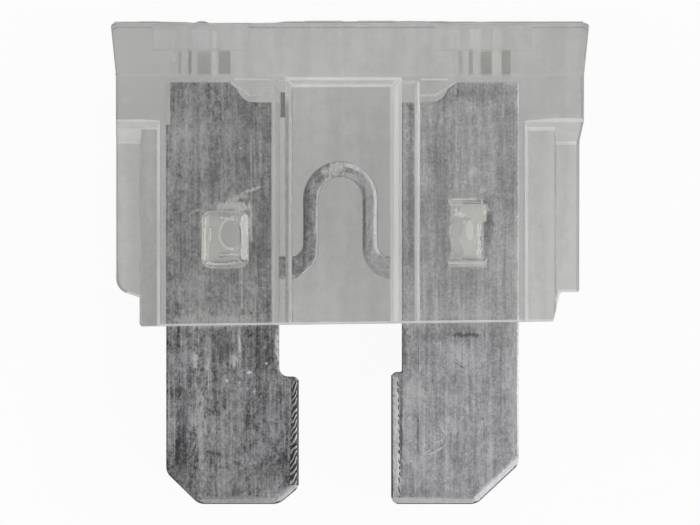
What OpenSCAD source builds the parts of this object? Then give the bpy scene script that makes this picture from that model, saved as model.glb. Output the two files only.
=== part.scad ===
// Blade fuse, regular size: a one-piece stamped zinc element with two plug-in
// blades and an arched fuse link, staked into a one-piece clear moulded housing.
// It lies on its back: +Z is up through the thickness, +Y runs from the blade
// tips to the head, +X to the right of the front face. Millimetres.

/* [Overall] */
// Length from the blade tips to the flat top of the head
fuse_len = 19.22; // [18:0.02:21]
// Gap between the element and the slots that hold it, each side
fit_gap = 0.04; // [0.02:0.01:0.1]

/* [Head] */
// Width of the head across its top
head_w = 19.1; // [18.4:0.1:21]
// Thickness of the head across its top
head_t = 5.1; // [4.9:0.05:6]
// Height of the head
head_h = 2.08; // [1.6:0.02:2.6]
// Radius of the head's two top corners
head_corner_r = 0.2; // [0.05:0.05:0.6]

/* [Body] */
// Width across the shoulders, and of the head where it meets them
shoulder_w = 18.68; // [18:0.02:19]
// Height of the shoulders under the head, to where their slope starts
shoulder_h = 1.82; // [1.2:0.02:2.4]
// Thickness over the shoulders and the pads that cover the blades
pad_t = 4.7; // [4.3:0.02:4.8]
// How far a pad reaches past the outer edge of its blade
pad_margin = 0.22; // [0.1:0.01:0.4]
// Thickness over the two strips beside the pads
strip_t = 3.7; // [3.2:0.02:4.1]
// Width of each strip
strip_w = 0.78; // [0.5:0.02:1]
// Thickness of the two side fins
fin_t = 1.84; // [1.2:0.02:2.4]
// Width across the fins, halfway down
fin_span = 18.5; // [18:0.02:18.68]
// Length of the blades that stands out under the left end of the body
left_reach = 7.1; // [6.6:0.02:7.6]
// Length of the blades that stands out under the right end of the body
right_reach = 7.3; // [6.6:0.02:7.6]
// Height of the left fin's lower end above the foot of the body
left_fin_lift = 1.16; // [0.8:0.02:1.6]
// Rise of the left fin's lower end from the strip to its rounded corner
left_fin_rise = 0.32; // [0.1:0.02:0.6]
// Radius of the left fin's lower corner
left_fin_r = 0.6; // [0.2:0.05:0.7]
// Height of the right fin's lower end above the foot of the body
right_fin_lift = 1.18; // [0.8:0.02:1.6]
// Width of the sloped web under the right fin
right_web_w = 0.3; // [0.1:0.02:0.5]

/* [Window] */
// Width of the window between the pads, at the face of the pads
window_w = 4.54; // [4:0.02:5]
// Thickness of the body over the window
window_t = 3.5; // [3.2:0.02:4]
// Run of the sloped window walls
window_draft = 0.26; // [0.1:0.01:0.3]
// Width of the cavity around the fuse link
cavity_w = 5.94; // [5.2:0.02:6.2]
// Thickness of the cavity around the fuse link
cavity_t = 2; // [1.4:0.05:2.4]
// Distance from the foot of the head down to the cavity's ceiling
ceiling_drop = 0.18; // [0.1:0.01:0.3]

/* [Blades] */
// Width over both blades
blade_span = 14.1; // [13.8:0.02:14.6]
// Thickness of the sheet
blade_t = 0.65; // [0.5:0.01:0.8]
// Gap between the blades' top edge and the ceiling
top_gap = 0.1; // [0.05:0.01:0.2]
// Width of the left blade at its neck
left_neck_w = 4.52; // [4.2:0.02:4.9]
// Width of the right blade at its neck
right_neck_w = 4.68; // [4.2:0.02:4.9]
// Width of the left blade at its tip
left_tip_w = 5.3; // [5:0.02:5.5]
// Width of the right blade at its tip
right_tip_w = 5.1; // [5:0.02:5.5]
// Height of the left blade's wide tip
left_tip_h = 5.1; // [4.6:0.02:5.6]
// Height of the right blade's wide tip
right_tip_h = 5.28; // [4.6:0.02:5.6]
// Width of the sloped corner at the left blade's outer foot
left_slope_w = 1.3; // [1:0.05:2]
// Height of that sloped corner
left_slope_h = 1.26; // [1:0.02:1.8]
// Width of the sloped corner at the right blade's outer foot
right_slope_w = 1.7; // [1:0.05:2]
// Height of that sloped corner
right_slope_h = 1.58; // [1:0.02:1.8]
// Width of the small sloped corner at the left blade's inner foot
left_toe_w = 0.8; // [0.3:0.05:1.2]
// Height of that small sloped corner
left_toe_h = 0.65; // [0.3:0.05:1.2]
// Radius of the right blade's inner foot
right_toe_r = 0.3; // [0.1:0.05:0.6]
// Radius of the fillet over the left blade's wide tip
left_neck_r = 0.36; // [0.1:0.02:0.6]
// Radius of the upper corner of each wide tip
tip_corner_r = 0.24; // [0.1:0.02:0.36]
// Width of the coined bevel along the blade ends
coin_w = 0.3; // [0.1:0.02:0.5]
// Depth of that bevel on each face
coin_d = 0.16; // [0.05:0.01:0.25]
// Depth of the notch at the inner top corner of each blade
notch_d = 0.8; // [0.5:0.02:1.2]
// Width of the blade's full-height top edge
crown_w = 2.3; // [2:0.05:3]
// Run of the S-shaped step from the top edge down to the notch
notch_run = 1.2; // [0.8:0.05:1.4]

/* [Stakes] */
// Width of the hole in the left blade
left_hole_w = 1.75; // [1.2:0.05:2]
// Height of the hole in the left blade
left_hole_h = 2; // [1.6:0.05:2.8]
// Width of the hole in the right blade
right_hole_w = 1.3; // [1.1:0.05:2]
// Height of the hole in the right blade
right_hole_h = 2.5; // [1.6:0.05:2.8]
// Distance of the left hole's centre from the outer edge of its blade
left_hole_inset = 2.27; // [2:0.01:2.5]
// Distance of the right hole's centre from the outer edge of its blade
right_hole_inset = 2.05; // [2:0.01:2.5]
// Height of the left hole's centre above the blade tips
left_hole_y = 10.58; // [10:0.02:11.5]
// Height of the right hole's centre above the blade tips
right_hole_y = 10.84; // [10:0.02:11.5]
// Depth of the punch mark over each stake
stake_d = 1.3; // [0.6:0.05:1.6]
// Margin of the punch mark's mouth around the hole
stake_margin = 0.16; // [0.05:0.01:0.3]
// Run of the punch mark's sloped walls
stake_draft = 0.36; // [0.1:0.02:0.5]

/* [Link] */
// Width of the link's ribbon
link_w = 0.64; // [0.4:0.02:0.8]
// Thickness of the link's ribbon
link_t = 0.5; // [0.3:0.02:0.6]
// Radius of the arch on the middle of the ribbon
arch_r = 1.185; // [1:0.005:1.4]
// Height of the arch's centre above the blade tips
arch_y = 12.21; // [11.6:0.01:12.8]
// Sideways place of the arch from the middle of the blades
arch_shift = -0.07; // [-0.2:0.01:0.1]
// Height of the upper edge of the link's feet above the blade tips
foot_y = 9.9; // [9.6:0.02:10.2]
// Height of the link's feet where they join the blades
foot_h = 0.9; // [0.6:0.02:1.1]
// Radius of the inside bend from leg to foot
bend_in_r = 0.5; // [0.3:0.02:0.6]
// Radius of the outside bend from leg to foot
bend_out_r = 1.25; // [1.1:0.01:1.5]

/* [Test points] */
// Distance of each test point's middle from the outer edge of its blade
well_inset = 1.4; // [1.2:0.05:2]
// Width of the recess over each blade in the top of the head
well_w = 3.84; // [3:0.02:4]
// Thickness of that recess
well_t = 1.6; // [1.4:0.05:2]
// Width of the thicker middle of that recess
well_core_w = 1.6; // [1.2:0.05:2]
// Thickness of that middle
well_core_t = 2.6; // [2.2:0.05:3]
// Depth of that recess
well_d = 1; // [0.6:0.05:1.4]
// Draft of that recess, towards the front and the back
well_draft = 0.1; // [0:0.01:0.2]
// Width of the probe slot from the recess down to the blade
probe_w = 2.4; // [1.8:0.05:2.8]
// Thickness of the probe slot
probe_t = 1; // [0.85:0.05:1.2]
// Width of the thicker middle of the probe slot
probe_core_w = 0.88; // [0.6:0.02:1.1]
// Thickness of that middle
probe_core_t = 1.8; // [1.4:0.05:2.1]

/* [Rating number] */
// Height of the raised digits on the head
digit_h = 2.6; // [1.8:0.05:3.2]
// Width of one digit
digit_w = 1.5; // [1:0.05:1.7]
// Width of a digit's strokes
digit_stroke = 0.34; // [0.2:0.02:0.5]
// Gap between the digits
digit_gap = 0.6; // [0.3:0.05:0.8]
// How far the digits stand up from the head
digit_rise = 0.1; // [0.05:0.01:0.2]

/* [Hidden] */
$fn = 64;

// Sideways place of the pads, window and element from the middle of the head
core_shift = -0.3;
// Sideways place of the cavity from the middle of the pads
cavity_shift = 0.13;
// Sideways place of the strips from the middle of the head
strip_shift = -0.08;
// Sideways place of the fins from the middle of the head
fin_shift = -0.09;
// Run of the pads' sloped outer walls
pad_draft = 0.14;
// Run of the strips' sloped outer walls
strip_draft = 0.14;
// Run of the shoulders' slope from the pads' level to the fins' level
shoulder_run = 0.86;
// Run of the sloped top wall of the window
window_top_run = 0.2;
// Radius of the body's lower left corner
foot_corner_r = 0.16;
// Height of the stop over each notch, below the ceiling
stop_h = 0.54;
// Run of that stop's slope
stop_run = 0.68;
// Distance from the blade's full-height top edge to the stop
stop_gap = 0.39;
// Overrun of cuts past the faces that they open
over = 0.5;
// Depth to which joined solids reach into each other
bite = 0.05;

// Heights above the blade tips
head_foot = fuse_len - head_h;
ceiling = head_foot - ceiling_drop;
blade_top = ceiling - top_gap;
slope_top = head_foot - shoulder_h;

// Half widths from the middle of the core
blade_half = blade_span / 2;
pad_half = blade_half + pad_margin;
strip_half = pad_half + pad_draft + strip_w;
slot_half = blade_half + fit_gap;
fin_half = fin_span / 2;

// Half thicknesses
head_z = head_t / 2;
pad_z = pad_t / 2;
strip_z = strip_t / 2;
fin_z = fin_t / 2;
window_z = window_t / 2;
slot_z = blade_t / 2 + fit_gap;

// The origin is under the middle of the box: halfway along the length, on the
// back of the head.
length_middle = (fuse_len + digit_rise) / 2;
module lying() {
  translate([0, -length_middle, head_z]) children();
}

// Solid with a front-view outline (x, y), centred through the thickness
module front_prism(points, thickness) {
  translate([0, 0, -thickness / 2]) linear_extrude(thickness) polygon(points);
}

// Solid with a side-view outline (y, z), from one x to another
module side_prism(points, x0, x1) {
  translate([x0, 0, 0]) rotate([90, 0, 90]) linear_extrude(x1 - x0) polygon(points);
}

// Solid with an end-view outline (x, z), from one y to another
module end_prism(points, y0, y1) {
  translate([0, y1, 0]) rotate([90, 0, 0]) linear_extrude(y1 - y0) polygon(points);
}

// Both faces of a cut or a boss that is drawn on the front
module both_faces() {
  children();
  mirror([0, 0, 1]) children();
}

// What is left between a corner and its rounding, for cutting away. The corner
// is at the origin, with one edge along +y and the other along +x, which may
// fall away at a slope in degrees.
module corner_waste(r, slope = 0) {
  centre = [r, r * (1 - sin(slope)) / cos(slope)];
  down = [-sin(slope), -cos(slope)];
  foot = centre + r * down;
  difference() {
    polygon([
      centre, [0, centre[1]], [-over, centre[1]], [-over, -over],
      foot + over * down, foot,
    ]);
    translate(centre) circle(r);
  }
}

// Fillet in the corner at the origin, filling towards +x and +y
module corner_fill(r) {
  difference() {
    translate([-bite, -bite]) square(r + bite);
    translate([r, r]) circle(r);
  }
}

// Head

module head_outline() {
  top = head_w / 2;
  foot = shoulder_w / 2;
  difference() {
    polygon([[-foot, head_foot], [foot, head_foot], [top, fuse_len], [-top, fuse_len]]);
    for (side = [0, 1])
      mirror([side, 0, 0]) translate([top, fuse_len]) rotate(180) corner_waste(head_corner_r);
  }
}

module head() {
  intersection() {
    translate([0, 0, -head_z]) linear_extrude(head_t) head_outline();
    side_prism([
      [head_foot, -pad_z], [head_foot, pad_z], [fuse_len, head_z], [fuse_len, -head_z],
    ], -head_w, head_w);
  }
}

// One seven-bar digit, seen from above the head. Its bars are named by place.
module digit(bars) {
  half = digit_h / 2;
  long = half + digit_stroke / 2;
  for (bar = bars) {
    flat = bar == "top" || bar == "middle" || bar == "bottom";
    right = bar == "upper_right" || bar == "lower_right";
    low = bar == "lower_left" || bar == "lower_right";
    x = right ? digit_w - digit_stroke : 0;
    z_flat = bar == "top" ? half - digit_stroke : bar == "middle" ? -digit_stroke / 2 : -half;
    z_tall = low ? -half : -digit_stroke / 2;
    translate([x, 0, flat ? z_flat : z_tall])
      cube([flat ? digit_w : digit_stroke, digit_rise + bite, flat ? digit_stroke : long]);
  }
}

module rating_number() {
  two = ["top", "upper_right", "middle", "lower_left", "bottom"];
  five = ["top", "upper_left", "middle", "lower_right", "bottom"];
  translate([0, fuse_len - bite, 0]) mirror([0, 0, 1]) {
    translate([-digit_gap / 2 - digit_w, 0, 0]) digit(two);
    translate([digit_gap / 2, 0, 0]) digit(five);
  }
}

// Body

// Outline of shoulders, fins and foot, seen from the front
module body_outline() {
  wide = shoulder_w / 2;
  left = strip_shift - strip_half - strip_draft;
  right = strip_shift + strip_half;
  outer_left = fin_shift - fin_half;
  outer_right = fin_shift + fin_half;
  fin_left = left_reach + left_fin_lift;
  fin_right = right_reach + right_fin_lift;
  difference() {
    polygon([
      [-wide, head_foot], [-wide, slope_top], [outer_left, slope_top - shoulder_run],
      [outer_left, fin_left + left_fin_rise], [left, fin_left],
      [left, left_reach], [right, right_reach],
      [right + right_web_w, fin_right], [outer_right, fin_right],
      [outer_right, slope_top - shoulder_run], [wide, slope_top], [wide, head_foot],
    ]);
    translate([outer_left, fin_left + left_fin_rise])
      corner_waste(left_fin_r, atan2(left_fin_rise, left - outer_left));
    translate([left, left_reach]) corner_waste(foot_corner_r);
  }
}

// Cut that lowers the front from the pads to a level, outside a half width and
// below the shoulders' slope
module side_step(half, draft, level) {
  fall = (pad_z - fin_z) / shoulder_run;
  far = head_w;
  slope_foot = slope_top - (pad_z - level) / fall;
  wall_top = half - draft * over / (pad_z - level);
  intersection() {
    end_prism([
      [half + draft, level], [wall_top, pad_z + over], [far, pad_z + over], [far, level],
    ], -over, fuse_len);
    side_prism([
      [slope_foot, level], [slope_top + over / fall, pad_z + over],
      [-over, pad_z + over], [-over, level],
    ], -over, far);
  }
}

module side_steps() {
  for (side = [0, 1]) {
    translate([core_shift, 0, 0]) mirror([side, 0, 0])
      side_step(pad_half, pad_draft, strip_z);
    translate([strip_shift, 0, 0]) mirror([side, 0, 0])
      side_step(strip_half, strip_draft, fin_z);
  }
}

// Sloped-walled recess between the pads, open at the foot
module window_recess() {
  depth = pad_z - window_z;
  mouth = window_w / 2;
  flare = window_draft * over / depth;
  rise = window_top_run * over / depth;
  top = ceiling;
  translate([core_shift, 0, 0]) intersection() {
    end_prism([
      [-mouth + window_draft, window_z], [mouth - window_draft, window_z],
      [mouth + flare, pad_z + over], [-mouth - flare, pad_z + over],
    ], -over, fuse_len);
    side_prism([
      [-over, window_z], [top - window_top_run, window_z],
      [top + rise, pad_z + over], [-over, pad_z + over],
    ], -window_w, window_w);
  }
}

// Slot for the blades, with a stop over each notch
module blade_slot() {
  stop_x = blade_half - crown_w - stop_gap;
  shelf = ceiling - stop_h;
  front_prism([
    [-slot_half, -over], [-slot_half, ceiling], [-stop_x, ceiling], [-stop_x + stop_run, shelf],
    [stop_x - stop_run, shelf], [stop_x, ceiling], [slot_half, ceiling], [slot_half, -over],
  ], 2 * slot_z);
}

module link_cavity() {
  translate([cavity_shift - cavity_w / 2, -over, -cavity_t / 2])
    cube([cavity_w, ceiling + over, cavity_t]);
}

// Slot from one y to another, as far thicker at its upper end as the flare says
module tapered_slot(y0, y1, w, t, flare) {
  foot = t / 2;
  mouth = foot + flare;
  side_prism([[y0, -foot], [y0, foot], [y1, mouth], [y1, -mouth]], -w / 2, w / 2);
}

// Cross-shaped hole: a wide thin slot with a thicker middle
module cross_hole(y0, y1, w, t, core_w, core_t, flare = 0) {
  tapered_slot(y0, y1, w, t, flare);
  tapered_slot(y0, y1, core_w, core_t, flare);
}

// Recess in the head and probe slot down to the top edge of a blade
module test_point() {
  recess = fuse_len - well_d;
  flare = well_draft * (1 + over / well_d);
  cross_hole(recess, fuse_len + over, well_w, well_t, well_core_w, well_core_t, flare);
  cross_hole(ceiling - bite, recess + bite, probe_w, probe_t, probe_core_w, probe_core_t);
}

// Punch mark in the front of a pad, over a stake
module punch_mark(hole_w, hole_h) {
  x = hole_w / 2 + stake_margin;
  y = hole_h / 2 + stake_margin;
  flare = stake_draft * over / stake_d;
  floor_z = pad_z - stake_d;
  intersection() {
    end_prism([
      [-x + stake_draft, floor_z], [x - stake_draft, floor_z],
      [x + flare, pad_z + over], [-x - flare, pad_z + over],
    ], -hole_h, hole_h);
    side_prism([
      [-y + stake_draft, floor_z], [y - stake_draft, floor_z],
      [y + flare, pad_z + over], [-y - flare, pad_z + over],
    ], -hole_w, hole_w);
  }
}

// Plastic that fills the hole in a blade
module stake(hole_w, hole_h) {
  w = hole_w - 2 * fit_gap;
  h = hole_h - 2 * fit_gap;
  deep = 2 * (slot_z + bite);
  translate([-w / 2, -h / 2, -deep / 2]) cube([w, h, deep]);
}

// Places of the two stakes from the middle of the core
module at_left_stake() {
  translate([-blade_half + left_hole_inset, left_hole_y, 0]) children();
}

module at_right_stake() {
  translate([blade_half - right_hole_inset, right_hole_y, 0]) children();
}

module body() {
  difference() {
    translate([0, 0, -pad_z]) linear_extrude(pad_t) body_outline();
    both_faces() {
      side_steps();
      window_recess();
    }
  }
}

module housing() {
  color([0.67, 0.67, 0.66, 0.6]) lying() {
    difference() {
      union() {
        head();
        body();
      }
      translate([core_shift, 0, 0]) {
        blade_slot();
        link_cavity();
        for (side = [-1, 1])
          translate([side * (blade_half - well_inset), 0, 0]) test_point();
        both_faces() {
          at_left_stake() punch_mark(left_hole_w, left_hole_h);
          at_right_stake() punch_mark(right_hole_w, right_hole_h);
        }
      }
    }
    translate([core_shift, 0, 0]) {
      at_left_stake() stake(left_hole_w, left_hole_h);
      at_right_stake() stake(right_hole_w, right_hole_h);
    }
    rating_number();
  }
}

// Element

// Blade seen from the front, its outer edge on x = 0 and its inner edge
// towards +x. The slope and the toe are the widths and heights of its sloped
// outer and inner foot.
module blade_outline(neck_w, tip_w, tip_h, slope, toe) {
  half_run = notch_run / 2;
  half_drop = notch_d / 2;
  shelf = blade_top - notch_d;
  step_x = crown_w + half_run;
  step_r = (half_run ^ 2 + half_drop ^ 2) / notch_d;
  difference() {
    union() {
      polygon([
        [0, slope[1]], [slope[0], 0], [tip_w - toe[0], 0], [tip_w, toe[1]],
        [tip_w, tip_h], [neck_w, tip_h], [neck_w, shelf],
        [step_x, shelf], [step_x, blade_top], [0, blade_top],
      ]);
      // Hollow lower half of the step
      difference() {
        translate([step_x - bite, shelf - bite]) square([half_run + bite, half_drop + bite]);
        translate([step_x + half_run, shelf + step_r]) circle(step_r);
      }
    }
    // Round upper half of the step
    difference() {
      translate([crown_w, shelf + half_drop]) square([half_run + over, half_drop + over]);
      translate([crown_w, blade_top - step_r]) circle(step_r);
    }
    translate([tip_w, tip_h]) rotate(180) corner_waste(tip_corner_r);
  }
}

// Bevel cutter along the edge from one point to another, with the material on
// its left
module coin_cut(from, to) {
  run = to - from;
  face = blade_t / 2;
  translate([from[0], from[1], 0]) rotate([0, 0, atan2(run[1], run[0])])
    side_prism([
      [-over, face - coin_d * (1 + over / coin_w)],
      [coin_w * (1 + over / coin_d), face + over], [-over, face + over],
    ], -over, norm(run) + over);
}

module blade(neck_w, tip_w, tip_h, slope, toe) {
  difference() {
    translate([0, 0, -blade_t / 2]) linear_extrude(blade_t) union() {
      blade_outline(neck_w, tip_w, tip_h, slope, toe);
      children();
    }
    both_faces() {
      coin_cut([0, slope[1]], [slope[0], 0]);
      coin_cut([slope[0], 0], [tip_w, 0]);
      if (toe[0] > 0) coin_cut([tip_w - toe[0], 0], [tip_w, toe[1]]);
    }
  }
}

// Hole for a stake, through the sheet
module stake_hole(w, h) {
  translate([-w / 2, -h / 2, -blade_t]) cube([w, h, 2 * blade_t]);
}

module left_blade() {
  difference() {
    blade(left_neck_w, left_tip_w, left_tip_h, [left_slope_w, left_slope_h], [left_toe_w, left_toe_h])
      translate([left_neck_w, left_tip_h]) corner_fill(left_neck_r);
    translate([left_hole_inset, left_hole_y, 0]) stake_hole(left_hole_w, left_hole_h);
  }
}

module right_blade() {
  difference() {
    blade(right_neck_w, right_tip_w, right_tip_h, [right_slope_w, right_slope_h], [0, 0]);
    translate([right_hole_inset, right_hole_y, 0]) stake_hole(right_hole_w, right_hole_h);
    translate([right_tip_w, 0, -blade_t]) linear_extrude(2 * blade_t) rotate(90)
      corner_waste(right_toe_r);
  }
}

// Half of the link, from the top of the arch to a blade's inner edge
module half_link(reach) {
  inside = arch_r - link_w / 2;
  outside = arch_r + link_w / 2;
  bend = [outside + bend_in_r, foot_y + bend_in_r];
  heel = [inside + bend_out_r, foot_y - foot_h + bend_out_r];
  sole_y = foot_y - foot_h;
  // Arch
  intersection() {
    difference() {
      translate([0, arch_y]) circle(outside);
      translate([0, arch_y]) circle(inside);
    }
    translate([-bite, arch_y]) square(outside + over);
  }
  // Leg
  translate([inside, bend[1] - bite]) square([link_w, arch_y - bend[1] + 2 * bite]);
  // Foot
  difference() {
    union() {
      intersection() {
        translate(heel) circle(bend_out_r);
        translate([inside, sole_y]) square(bend_out_r);
      }
      translate([inside, heel[1] - bite]) square([bend_out_r, bend[1] - heel[1] + bite]);
      translate([heel[0] - bite, sole_y]) square([reach - heel[0] + 2 * bite, bend[1] - sole_y]);
    }
    translate(bend) circle(bend_in_r);
    translate([bend[0], foot_y]) square([reach, bend_in_r + over]);
  }
}

module link() {
  left_edge = -blade_half + left_neck_w;
  right_edge = blade_half - right_neck_w;
  translate([arch_shift, 0, -link_t / 2]) linear_extrude(link_t) {
    half_link(right_edge - arch_shift);
    mirror([1, 0]) half_link(arch_shift - left_edge);
  }
}

module fuse_element() {
  color([0.56, 0.56, 0.58]) lying() translate([core_shift, 0, 0]) {
    translate([-blade_half, 0, 0]) left_blade();
    translate([blade_half, 0, 0]) mirror([1, 0, 0]) right_blade();
    link();
  }
}

housing();
fuse_element();
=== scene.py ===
# Looks of the clear blade fuse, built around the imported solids. Metres, in the
# part's own frame: the fuse lies on its back, +Y towards the head, +Z up.
import math

import bmesh
import bpy
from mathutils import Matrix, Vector, noise
from mathutils.bvhtree import BVHTree


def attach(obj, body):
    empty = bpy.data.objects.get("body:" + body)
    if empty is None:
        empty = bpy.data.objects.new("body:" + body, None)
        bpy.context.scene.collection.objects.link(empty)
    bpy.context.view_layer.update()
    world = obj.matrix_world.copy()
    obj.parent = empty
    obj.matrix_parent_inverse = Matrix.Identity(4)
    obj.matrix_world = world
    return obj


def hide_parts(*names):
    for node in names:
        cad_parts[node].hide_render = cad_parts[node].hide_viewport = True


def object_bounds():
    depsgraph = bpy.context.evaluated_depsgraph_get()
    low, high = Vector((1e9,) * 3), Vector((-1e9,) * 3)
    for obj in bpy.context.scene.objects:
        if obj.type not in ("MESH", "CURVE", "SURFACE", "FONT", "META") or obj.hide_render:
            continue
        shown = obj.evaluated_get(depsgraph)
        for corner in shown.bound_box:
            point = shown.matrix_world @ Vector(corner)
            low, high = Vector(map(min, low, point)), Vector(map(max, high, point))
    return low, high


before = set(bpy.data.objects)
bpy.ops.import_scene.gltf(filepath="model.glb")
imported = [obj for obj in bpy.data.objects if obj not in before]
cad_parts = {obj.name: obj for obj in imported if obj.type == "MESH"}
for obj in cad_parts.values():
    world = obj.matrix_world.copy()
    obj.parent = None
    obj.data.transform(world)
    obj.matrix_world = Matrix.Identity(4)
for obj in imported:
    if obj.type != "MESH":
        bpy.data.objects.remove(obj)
CAD_LOW, CAD_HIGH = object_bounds()
MM = 0.001

scene = bpy.context.scene
scene.view_settings.view_transform = "Standard"

# Camera: straight above the front face, head at the top of the picture
FRAME_W = 28 * MM
CAMERA_REACH = 900 * MM
SENSOR_W = 36.0
CLIP_START = 10 * MM
CLIP_END = 3000 * MM
MIDDLE_Z = (CAD_LOW.z + CAD_HIGH.z) / 2


def make_camera():
    data = bpy.data.cameras.new("camera")
    data.sensor_width = SENSOR_W
    data.lens = SENSOR_W * CAMERA_REACH / FRAME_W
    data.clip_start = CLIP_START
    data.clip_end = CLIP_END
    camera = bpy.data.objects.new("camera", data)
    camera.location = (0, 0, MIDDLE_Z + CAMERA_REACH)
    scene.collection.objects.link(camera)
    scene.camera = camera


# Node helpers


def new_material(name):
    material = bpy.data.materials.new(name)
    material.use_nodes = True
    material.node_tree.nodes.clear()
    return material, material.node_tree


def add(tree, kind, inputs=None, **settings):
    node = tree.nodes.new(kind)
    for key, value in settings.items():
        setattr(node, key, value)
    for key, value in (inputs or {}).items():
        if isinstance(value, bpy.types.NodeSocket):
            tree.links.new(value, node.inputs[key])
        else:
            node.inputs[key].default_value = value
    return node


# Surfaces

PER_MM = 1 / MM
# Where the plastic's tint changes, in mm: lighter from left to right, a painted light from the right-hand
# side, and darker towards the head's ends
LIT_RIGHT_X = (-9.5, 9.5)
END_X = (5.0, 8.0)
END_Y = (5.2, 6.0)
HAZE_SPAN = (0.42, 0.58)
PLASTIC_RELIEF = 0.04 * MM
ZINC_RELIEF = 0.05 * MM


def in_mm(tree):
    """The place on the part in millimetres."""
    place = add(tree, "ShaderNodeTexCoord").outputs["Object"]
    return add(tree, "ShaderNodeVectorMath", {0: place, "Scale": PER_MM},
               operation="SCALE").outputs["Vector"]


def grain(tree, vector, scale, detail=2.0, rough=0.5, stretch=None, swirl=0.0):
    if stretch:
        vector = add(tree, "ShaderNodeVectorMath", {0: vector, 1: stretch},
                     operation="MULTIPLY").outputs["Vector"]
    return add(tree, "ShaderNodeTexNoise", {
        "Vector": vector, "Scale": scale, "Detail": detail, "Roughness": rough,
        "Distortion": swirl}).outputs["Fac"]


def remap(tree, value, low, high, to_low=0.0, to_high=1.0):
    return add(tree, "ShaderNodeMapRange", {
        "Value": value, "From Min": low, "From Max": high,
        "To Min": to_low, "To Max": to_high}).outputs["Result"]


def maths(tree, operation, a, b):
    return add(tree, "ShaderNodeMath", {0: a, 1: b}, operation=operation).outputs["Value"]


def blend(tree, parts):
    """Weighted sum of (value, weight) pairs."""
    total = None
    for value, weight in parts:
        term = maths(tree, "MULTIPLY", value, weight)
        total = maths(tree, "ADD", total, term) if total else term
    return total


def ramp(tree, value, low, high):
    node = add(tree, "ShaderNodeValToRGB", {"Fac": value})
    node.color_ramp.elements[0].color = (*low, 1)
    node.color_ramp.elements[1].color = (*high, 1)
    return node.outputs["Color"]


def mix_colours(tree, share, a, b):
    node = add(tree, "ShaderNodeMix", data_type="RGBA")
    for index, value in ((0, share), (6, a), (7, b)):
        if isinstance(value, bpy.types.NodeSocket):
            tree.links.new(value, node.inputs[index])
        else:
            node.inputs[index].default_value = value
    return node.outputs[2]


def plastic(name, low, high, clearness, roughness):
    """Clear moulded plastic, clouded between two tints, with faint upright flow lines."""
    material, tree = new_material(name)
    place = in_mm(tree)
    clouds = grain(tree, place, scale=1.6, detail=7.0, rough=0.66)
    flow = grain(tree, place, scale=1.0, detail=3.0, stretch=(1.4, 0.12, 1.4))
    specks = grain(tree, place, scale=9.0, detail=3.0, rough=0.6)
    axes = add(tree, "ShaderNodeSeparateXYZ", {0: place}).outputs
    # Lighter towards the right: painted light from that side
    lean = remap(tree, axes["X"], *LIT_RIGHT_X, -1.0, 1.0)
    off_middle = maths(tree, "ABSOLUTE", axes["X"], 0)
    ends = maths(tree, "MULTIPLY", remap(tree, off_middle, *END_X), remap(tree, axes["Y"], *END_Y))
    haze = blend(tree, [(clouds, 0.3), (flow, 0.45), (specks, 0.25), (lean, 0.04), (ends, -0.09)])
    bump = add(tree, "ShaderNodeBump", {
        "Height": clouds, "Strength": 0.12, "Distance": PLASTIC_RELIEF})
    tint = ramp(tree, remap(tree, haze, *HAZE_SPAN), low, high)
    body = add(tree, "ShaderNodeBsdfPrincipled", {
        "Base Color": tint, "Roughness": roughness, "IOR": 1.5,
        "Transmission Weight": clearness, "Normal": bump.outputs["Normal"]})
    light = add(tree, "ShaderNodeBsdfTransparent", {"Color": (*high, 1.0)})
    path = add(tree, "ShaderNodeLightPath")
    mix = add(tree, "ShaderNodeMixShader", {
        0: path.outputs["Is Shadow Ray"], 1: body.outputs["BSDF"], 2: light.outputs["BSDF"]})
    add(tree, "ShaderNodeOutputMaterial", {"Surface": mix.outputs["Shader"]})
    return material
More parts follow.
